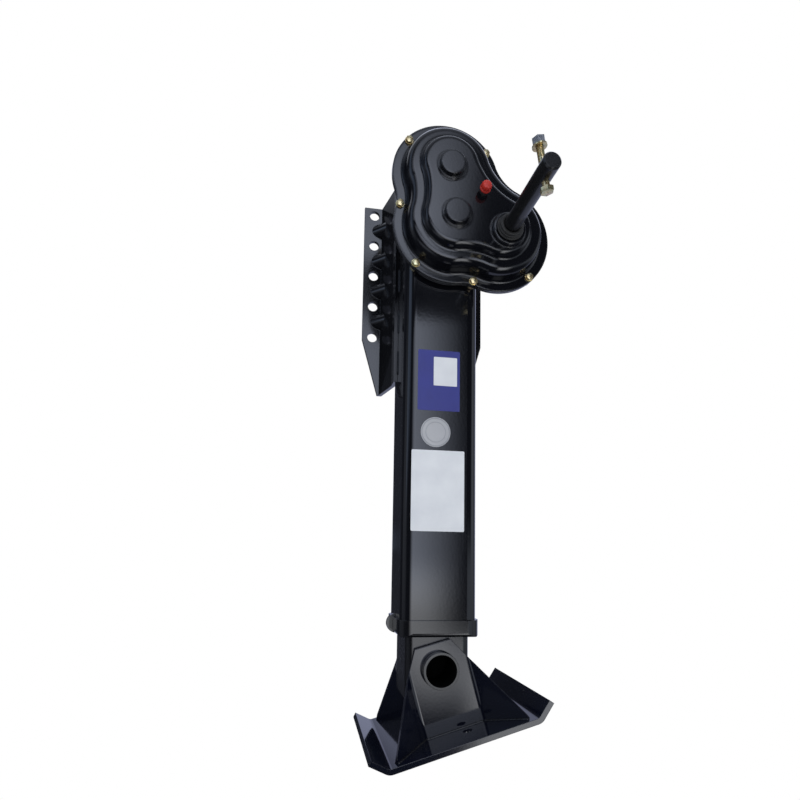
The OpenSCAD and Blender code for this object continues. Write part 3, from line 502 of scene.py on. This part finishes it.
# Gasket.
# A thin sheet of black rubber, cut to the outline of the flange and clamped between pan and cover.
noise_low = 0.3
noise_high = 0.7
blotch_share = 0.12
grain_polish = 0.06
grain_dulls = 0.08


def plain_grain(name, colour, other, roughness, metal, grain_scale, depth):
    """A material whose colour and roughness wander with a fine grain."""
    made, tree, shader = new_material(name)
    coordinates = object_place(tree)
    coarse = noise(tree, coordinates, scale=grain_scale * blotch_share, detail=3.0)
    fine = noise(tree, coordinates, scale=grain_scale, detail=3.0)
    wire(tree, mix_colour(tree, levels(tree, coarse, noise_low, noise_high), colour, other),
         shader.inputs["Base Color"])
    wire(tree, levels(tree, fine, noise_low, noise_high, roughness - grain_polish, roughness + grain_dulls),
         shader.inputs["Roughness"])
    shader.inputs["Metallic"].default_value = metal
    bump(tree, shader, fine, distance=depth, strength=0.5)
    return made


seal_rubber = plain_grain("seal_rubber", (0.016, 0.016, 0.017), (0.028, 0.027, 0.026), roughness=0.55,
                          metal=0.0, grain_scale=700.0, depth=0.0003)
coat(seal_rubber, "cover_gasket")


# Flange bolts.
# Small steel hexagon bolts with a pressed washer face, plated in yellow zinc.
# They clamp the cover's flange to the pan, with nuts behind it.
def ramp_node(tree, source, stops):
    made = add_node(tree, "ShaderNodeValToRGB")
    points = made.color_ramp.elements
    while len(points) < len(stops):
        points.new(0.5)
    for point, (place, colour) in zip(points, stops):
        point.position = place
        point.color = (*colour, 1.0)
    wire(tree, source, made.inputs["Fac"])
    return made.outputs["Color"]


zinc_tints = [(0.30, (0.60, 0.44, 0.20)), (0.48, (0.80, 0.66, 0.38)),
              (0.60, (0.62, 0.62, 0.38)), (0.72, (0.74, 0.52, 0.36))]
zinc_grime = (0.20, 0.14, 0.06)
zinc_metal = 0.9
zinc, zinc_tree, zinc_shader = new_material("yellow_zinc")
zinc_place = object_place(zinc_tree)
tint = ramp_node(zinc_tree, noise(zinc_tree, zinc_place, scale=85.0, detail=2.0), zinc_tints)
grime = levels(zinc_tree, noise(zinc_tree, zinc_place, scale=420.0, detail=3.0), 0.56, 0.74)
wire(zinc_tree, mix_colour(zinc_tree, grime, tint, zinc_grime), zinc_shader.inputs["Base Color"])
wire(zinc_tree, levels(zinc_tree, grime, 0.0, 1.0, 0.24, 0.55), zinc_shader.inputs["Roughness"])
zinc_shader.inputs["Metallic"].default_value = zinc_metal
bump(zinc_tree, zinc_shader, noise(zinc_tree, zinc_place, scale=1400.0, detail=2.0), distance=0.0001,
     strength=0.4)
coat(zinc, "cover_nuts")


def solid_centres(name, reach):
    """Centres of the separate solids of a node, by gathering points that lie within reach of each other."""
    groups = []
    for vertex in nodes[name].data.vertices:
        home = next((g for g in groups if (g[0] - vertex.co).length < reach), None)
        if home is None:
            groups.append([vertex.co.copy()])
        else:
            home.append(vertex.co.copy())
    boxes = [[Vector(map(pick, *group)) for pick in (min, max)] for group in groups]
    return [(low + high) / 2 for low, high in boxes]


def hex_head(shape, place, across_flats, height, dome):
    """A hexagon with a chamfered rim and a domed top, on z = 0 of its place."""
    corner_r = across_flats / math.sqrt(3)
    chamfer = height * 0.16
    crown_inset = across_flats * 0.10
    made = bmesh.ops.create_cone(shape, cap_ends=True, segments=6, radius1=corner_r, radius2=corner_r,
                                 depth=height)
    bmesh.ops.translate(shape, vec=(0.0, 0.0, height / 2), verts=made["verts"])
    rim = {e for v in made["verts"] for e in v.link_edges if all(w.co.z > height / 2 for w in e.verts)}
    cut = bmesh.ops.bevel(shape, geom=list(rim), offset=chamfer, offset_type="OFFSET", segments=3,
                          profile=0.5, material=-1, affect="EDGES")
    verts = {v for v in made["verts"] if v.is_valid} | set(cut["verts"])
    crown = max((f for v in verts for f in v.link_faces), key=lambda f: f.calc_center_median().z)
    bmesh.ops.inset_individual(shape, faces=[crown], thickness=crown_inset, depth=dome)
    verts |= set(crown.verts)
    bmesh.ops.transform(shape, matrix=place, verts=list(verts))


def lathe(shape, place, outline, steps):
    """Turns an outline of radius and height round the z axis of its place."""
    before = set(shape.verts)
    verts = [shape.verts.new((radius, 0.0, height)) for radius, height in outline]
    edges = [shape.edges.new(pair) for pair in zip(verts, verts[1:])]
    bmesh.ops.spin(shape, geom=verts + edges, cent=(0.0, 0.0, 0.0), axis=(0.0, 0.0, 1.0),
                   dvec=(0.0, 0.0, 0.0), angle=2.0 * math.pi, steps=steps, use_merge=True)
    bmesh.ops.remove_doubles(shape, verts=[v for v in shape.verts if v not in before], dist=1e-6)
    bmesh.ops.transform(shape, matrix=place, verts=[v for v in shape.verts if v not in before])


toward_viewer = Matrix.Rotation(math.pi / 2, 4, "X")
bolt_low, bolt_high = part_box("cover_bolts")
bolt_reach = 0.022
bolt_head_h = 0.0055
bolt_hex_across = 0.010695
bolt_hex_lift = 0.001
bolt_hex_h = 0.0041
bolt_dome = 0.0004
bolt_r = 0.004
bolt_chamfer = 0.001
bolt_end = -(bolt_high.y - bolt_low.y - bolt_head_h)
washer_line = [(0.0, 0.0), (0.0068, 0.0), (0.0070, 0.0004), (0.0066, 0.0012), (0.0, 0.0012)]
shank_line = [(0.0, 0.0), (bolt_r, 0.0), (bolt_r, bolt_end + bolt_chamfer),
              (bolt_r - bolt_chamfer, bolt_end), (0.0, bolt_end)]
heads = bmesh.new()
for centre in solid_centres("cover_bolts", bolt_reach):
    seat = Matrix.Translation((centre.x, bolt_low.y + bolt_head_h, centre.z)) @ toward_viewer
    tightened = Matrix.Rotation(draw.uniform(0.0, 1.0), 4, "Z")
    lathe(heads, seat, washer_line, steps=32)
    hex_head(heads, seat @ Matrix.Translation((0.0, 0.0, bolt_hex_lift)) @ tightened, bolt_hex_across,
             bolt_hex_h, bolt_dome)
    lathe(heads, seat, shank_line, steps=24)
show("flange_bolts", heads, zinc, "housing", 30.0, ("cover_bolts",))


# Crank stub.
# A round steel bar that carries the crank handle, painted dull black.
# It slides in and out of the gearbox to change gear.
coat(black_paint("stub_paint", (0.0045, 0.0046, 0.0055), dust=0.25, roughness=0.34), "crank_shaft")


# Boot of the crank stub.
# A moulded rubber sleeve with three ribs, pushed over the neck of the cover where the stub leaves it.
crank_at = Vector(joints["crank_spin"]["pos_m"])
boot_low, boot_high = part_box("crank_boot")
boot_h = boot_high.y - boot_low.y
boot_inner_r = 0.0129
boot_root_r = 0.0165
boot_foot_r = 0.0212
boot_taper = 0.0014
boot_mouth = 0.001
boot_ribs = 3
rib_h = boot_h / boot_ribs
rib_steps = 6
rib_fullness = 0.7
boot_line = [(boot_inner_r, 0.0), (boot_foot_r, 0.0)]
for rib in range(boot_ribs):
    rib_out = boot_foot_r - boot_taper * rib - boot_root_r
    for step in range(rib_steps + 1):
        turn = math.pi * step / rib_steps
        boot_line.append((boot_root_r + rib_out * math.sin(turn) ** rib_fullness,
                          rib_h * (rib + 0.5 - 0.5 * math.cos(turn))))
boot_line += [(boot_inner_r + boot_mouth, boot_h), (boot_inner_r, boot_h - boot_mouth), (boot_inner_r, 0.0)]
boot = bmesh.new()
lathe(boot, Matrix.Translation((crank_at.x, boot_high.y, crank_at.z)) @ toward_viewer, boot_line, steps=64)
show("ribbed_boot", boot, seal_rubber, "housing", 60.0, ("crank_boot",))


# Cross bolt of the crank stub.
# A long yellow zinc bolt hangs loose through the stub, with a bright nut and a washer on its threaded end.
bright_zinc = plain_grain("bright_zinc", (0.66, 0.68, 0.70), (0.50, 0.53, 0.58), roughness=0.28, metal=1.0,
                          grain_scale=600.0, depth=0.0001)
coat(bright_zinc, "crank_nut")
coat(zinc, "crank_washer")
stub_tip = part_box("crank_shaft")[0].y
cross_setback = 0.027
cross_lean = math.radians(9.0)
cross_place = Matrix.Translation((crank_at.x, stub_tip + cross_setback, crank_at.z)) \
    @ Matrix.Rotation(-cross_lean, 4, "Y")
cross_r = 0.005
cross_length = 0.072
head_gap = 0.020
head_across = 0.016
head_h = 0.0064
head_dome = 0.0005
head_turn = 0.3
thread_length = 0.030
thread_pitch = 0.0015
thread_depth = 0.0008
thread_steps = 20
thread_free = 0.002
runout = 0.001
tip_chamfer = 0.0006
tip_r = cross_r - 0.0018
root_r = cross_r - thread_depth
cross = bmesh.new()
head_place = cross_place @ Matrix.Translation((0.0, 0.0, -head_gap)) @ Matrix.Rotation(math.pi, 4, "X")
hex_head(cross, head_place @ Matrix.Rotation(head_turn, 4, "Z"), head_across, head_h, head_dome)
cross_top = cross_length - head_gap
thread_low = cross_top - thread_length
lathe(cross, cross_place, [(0.0, -head_gap - head_dome), (cross_r, -head_gap), (cross_r, thread_low),
                           (root_r, thread_low + runout), (root_r, cross_top - tip_chamfer),
                           (tip_r, cross_top), (0.0, cross_top)], steps=32)
ridge_foot = 0.42 * thread_pitch
ridge_crest = 0.08 * thread_pitch
ridge_root_r = cross_r - 1.2 * thread_depth
plain_part = set(cross.verts)
ridge = [cross.verts.new((r, 0.0, thread_low + z))
         for r, z in ((ridge_root_r, -ridge_foot), (cross_r, -ridge_crest),
                      (cross_r, ridge_crest), (ridge_root_r, ridge_foot))]
ridge_face = cross.faces.new(ridge)
turns = int((thread_length - thread_free) / thread_pitch)
bmesh.ops.spin(cross, geom=[ridge_face, *ridge_face.edges, *ridge], cent=(0.0, 0.0, 0.0),
               axis=(0.0, 0.0, 1.0), dvec=(0.0, 0.0, thread_pitch / thread_steps),
               angle=2.0 * math.pi * turns, steps=thread_steps * turns)
bmesh.ops.transform(cross, matrix=cross_place, verts=[v for v in cross.verts if v not in plain_part])
show("cross_bolt", cross, zinc, "crank", 30.0, ("crank_bolt",))


# Vent of the gearbox.
# A red moulded cap with grip ribs round it, pushed on a small dark hexagon nipple in the cover.
red_plastic = plain_grain("red_plastic", (0.56, 0.035, 0.022), (0.42, 0.02, 0.015), roughness=0.38,
                          metal=0.0, grain_scale=300.0, depth=0.0002)
dark_steel = plain_grain("dark_steel", (0.10, 0.10, 0.11), (0.06, 0.06, 0.065), roughness=0.42, metal=0.8,
                         grain_scale=500.0, depth=0.0002)
coat(dark_steel, "vent_base")
cap_low, cap_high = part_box("vent_cap")
cap_centre = (cap_low + cap_high) / 2
cap_r = (cap_high.x - cap_low.x) / 2
cap_h = cap_high.y - cap_low.y
cap_place = Matrix.Translation((cap_centre.x, cap_high.y, cap_centre.z)) @ toward_viewer
cap_line = [(0.0, 0.0), (cap_r * 0.82, 0.0), (cap_r, 0.0008), (cap_r, 0.0030), (cap_r * 0.86, 0.0042),
            (cap_r * 0.86, cap_h - 0.0025), (cap_r * 0.78, cap_h - 0.0008), (cap_r * 0.62, cap_h),
            (0.0, cap_h)]
grip_ribs = 12
grip_size = Matrix.Diagonal((0.0014, 0.0016, cap_h * 0.5, 1.0))
grip_place = Matrix.Translation((cap_r * 0.88, 0.0, cap_h * 0.5))
cap = bmesh.new()
lathe(cap, cap_place, cap_line, steps=40)
for grip in range(grip_ribs):
    made = bmesh.ops.create_cube(cap, size=1.0)
    round_cap = Matrix.Rotation(2.0 * math.pi * grip / grip_ribs, 4, "Z")
    bmesh.ops.transform(cap, matrix=cap_place @ round_cap @ grip_place @ grip_size, verts=made["verts"])
show("red_vent_cap", cap, red_plastic, "housing", 35.0, ("vent_cap",))


# Handle strip.
# A thin bent strip of spring steel that holds the crank handle, painted dull black.
# A small zinc bolt fixes it to the tube's left side.
coat(black_paint("strip_paint", (0.005, 0.0052, 0.0065), dust=0.4, roughness=0.20), "side_clip")
coat(zinc, "clip_bolt")


# Labels.
# Plain film labels stuck on the front of the tube: a blue one with a white panel, a silver disc with two
# rings, and a white one.
label_y = tube_low.y
film_t = 0.00025
handling_dulls = 0.1


def label_film(name, colour, other, roughness):
    """Printed film, a little uneven in colour and gloss, and not quite flat."""
    made, tree, shader = new_material(name)
    coordinates = object_place(tree)
    cloud = levels(tree, noise(tree, coordinates, scale=30.0, detail=3.0), noise_low, noise_high)
    wire(tree, mix_colour(tree, cloud, colour, other), shader.inputs["Base Color"])
    wire(tree, levels(tree, cloud, 0.0, 1.0, roughness, roughness + handling_dulls),
         shader.inputs["Roughness"])
    bump(tree, shader, noise(tree, coordinates, scale=60.0, detail=2.0), distance=0.0006, strength=0.15)
    return made


def film_plate(shape, low_x, high_x, low_z, high_z, layer, corner):
    """A thin plate with rounded corners on the front of the tube."""
    before = set(shape.verts)
    size = Matrix.Diagonal((high_x - low_x, high_z - low_z, 1.0, 1.0))
    made = bmesh.ops.create_grid(shape, x_segments=1, y_segments=1, size=0.5, matrix=size)
    bmesh.ops.bevel(shape, geom=made["verts"], offset=corner, offset_type="OFFSET", segments=4, profile=0.5,
                    material=-1, affect="VERTICES")
    faces = {f for v in shape.verts if v not in before for f in v.link_faces}
    grown = bmesh.ops.extrude_face_region(shape, geom=list(faces))["geom"]
    bmesh.ops.translate(shape, vec=(0.0, 0.0, film_t),
                        verts=[v for v in grown if isinstance(v, bmesh.types.BMVert)])
    middle = Vector(((low_x + high_x) / 2, label_y - layer * film_t, (low_z + high_z) / 2))
    bmesh.ops.transform(shape, matrix=Matrix.Translation(middle) @ toward_viewer,
                        verts=[v for v in shape.verts if v not in before])


blue_film = label_film("blue_film", (0.026, 0.030, 0.20), (0.032, 0.038, 0.24), roughness=0.30)
white_film = label_film("white_film", (0.80, 0.81, 0.84), (0.72, 0.73, 0.77), roughness=0.34)
silver_film = label_film("silver_film", (0.46, 0.46, 0.48), (0.40, 0.40, 0.43), roughness=0.30)
grey_ink = label_film("grey_ink", (0.30, 0.31, 0.34), (0.26, 0.27, 0.30), roughness=0.36)
blue_box = (-0.0385, 0.0285, -0.2905, -0.1940)
panel_box = (-0.0135, 0.0240, -0.2505, -0.2045)
white_box = (-0.0470, 0.0365, -0.4780, -0.3530)
disc_place = Matrix.Translation((-0.0095, label_y, -0.3245)) @ toward_viewer
disc_r = 0.0235
ring_radii = ((0.0222, 0.0212), (0.0160, 0.0153))
blue = bmesh.new()
film_plate(blue, *blue_box, layer=0, corner=0.002)
show("blue_label", blue, blue_film, "housing", 30.0)
white = bmesh.new()
film_plate(white, *panel_box, layer=1, corner=0.001)
film_plate(white, *white_box, layer=0, corner=0.002)
show("white_label", white, white_film, "housing", 30.0)
disc = bmesh.new()
lathe(disc, disc_place, [(0.0, 0.0), (disc_r, 0.0), (disc_r, film_t), (0.0, film_t)], steps=64)
show("silver_disc", disc, silver_film, "housing", 30.0)
rings = bmesh.new()
for outer_r, inner_r in ring_radii:
    lathe(rings, disc_place, [(inner_r, film_t), (outer_r, film_t), (outer_r, 2 * film_t),
                              (inner_r, 2 * film_t), (inner_r, film_t)], steps=64)
show("disc_rings", rings, grey_ink, "housing", 30.0)


# Inner leg.
# A square steel tube that slides in the outer one and carries the foot at its lower end.
# Its paint is duller and dustier than the outer tube's.
coat(black_paint("leg_paint", plain_black, dust=0.35, roughness=0.18), "inner_tube")


# Cross axle.
# A short thick-walled tube welded across the leg's lower end, on which the foot rocks.
# It is painted outside. Its bore gets painted shade: a near-black matte lining, mottled by noise, that stands
# in for the shade inside the tube.
axle_at = Vector(joints["foot_tilt"]["pos_m"])
bore_r = 0.0232
bore_edge = 0.0004
axle_paint_and_bore_shade = black_paint("axle_paint_and_bore_shade", plain_black, dust=0.35, roughness=0.18)
axle_tree = axle_paint_and_bore_shade.node_tree
off_axle = add_node(axle_tree, "ShaderNodeVectorMath", operation="SUBTRACT")
wire(axle_tree, object_place(axle_tree), off_axle.inputs[0])
off_axle.inputs[1].default_value = axle_at
off_axis = add_node(axle_tree, "ShaderNodeVectorMath", operation="MULTIPLY")
wire(axle_tree, off_axle.outputs[0], off_axis.inputs[0])
off_axis.inputs[1].default_value = (1.0, 0.0, 1.0)
radius = add_node(axle_tree, "ShaderNodeVectorMath", operation="LENGTH")
wire(axle_tree, off_axis.outputs[0], radius.inputs[0])
painted = levels(axle_tree, radius.outputs["Value"], bore_r, bore_r + bore_edge)
# Painted shade: the bore's near-black matte colours, darker than the paint, stand in for the shade that falls
# inside the tube.
bore_shade_dark = (0.0012, 0.0012, 0.0014)
bore_shade_mottle = (0.003, 0.0028, 0.0026)
shade_mottle = levels(axle_tree, noise(axle_tree, off_axle.outputs[0], scale=160.0, detail=3.0),
               noise_low, noise_high)
shade_lining = add_node(axle_tree, "ShaderNodeBsdfPrincipled", Roughness=0.8)
shade_lining.inputs["Specular IOR Level"].default_value = 0.1
wire(axle_tree, mix_colour(axle_tree, shade_mottle, bore_shade_dark, bore_shade_mottle), shade_lining.inputs["Base Color"])
outlet = next(n for n in axle_tree.nodes if n.type == "OUTPUT_MATERIAL").inputs["Surface"]
wire(axle_tree, mix_shader(axle_tree, painted, shade_lining.outputs[0], outlet.links[0].from_socket), outlet)
coat(axle_paint_and_bore_shade, "axle_tube")


# Foot.
# Two folded side plates welded to a flat sole with raised end lips, hung on the axle.
# It is painted a bluer black with road dust on it, and hangs out of level at rest.
foot_paint = black_paint("foot_paint", (0.0035, 0.0045, 0.0105), dust=0.30, roughness=0.08)
coat(foot_paint, "foot_plate_front", "foot_plate_rear", "sole_pan")
foot_lean = math.radians(15.9)
on_foot = Matrix.Translation(axle_at) @ Matrix.Rotation(-foot_lean, 4, "Y")
sole_top = -0.091
panel_half = 0.046
panel_y = 0.059
wing_x = 0.097
wing_y = 0.108
foot_bead_r = 0.0019
foot_welds = bmesh.new()
for side in (-1.0, 1.0):
    weld_line = [on_foot @ Vector((x, side * y, sole_top))
                 for x, y in ((-wing_x, wing_y), (-panel_half, panel_y),
                              (panel_half, panel_y), (wing_x, wing_y))]
    for start, end in zip(weld_line, weld_line[1:]):
        weld_bead(foot_welds, start, end, foot_bead_r)
show("foot_welds", foot_welds, bead_paint, "foot")


# Screw and gears.
# Turned and cut steel under a film of grease, inside the tube and the gearbox.
# The screw hangs in a ball thrust bearing and is held by a zinc plated lock nut.
machined = plain_grain("machined_steel", (0.42, 0.43, 0.45), (0.34, 0.34, 0.35), roughness=0.34, metal=1.0,
                       grain_scale=900.0, depth=0.0001)
coat(machined, "bearing_plate", "thrust_race_upper", "thrust_race_lower", "lead_screw", "bevel_gear",
     "screw_stop", "nut_plate", "output_shaft", "bevel_pinion", "output_gear", "idler_pin", "idler_gear",
     "idler_pinion", "crank_pinion")
coat(bright_zinc, "thrust_balls")
coat(zinc, "screw_nut")


# Bushes and lift nut.
# Turned bronze: bushes pressed into tube, pan and cover, and the nut that the screw drives up and down.
bronze = plain_grain("turned_bronze", (0.55, 0.36, 0.15), (0.46, 0.28, 0.11), roughness=0.36, metal=1.0,
                     grain_scale=700.0, depth=0.0001)
coat(bronze, "crank_case_bush", "crank_cover_bush", "output_front_bush", "output_rear_bush",
     "output_nose_bush", "lift_nut")
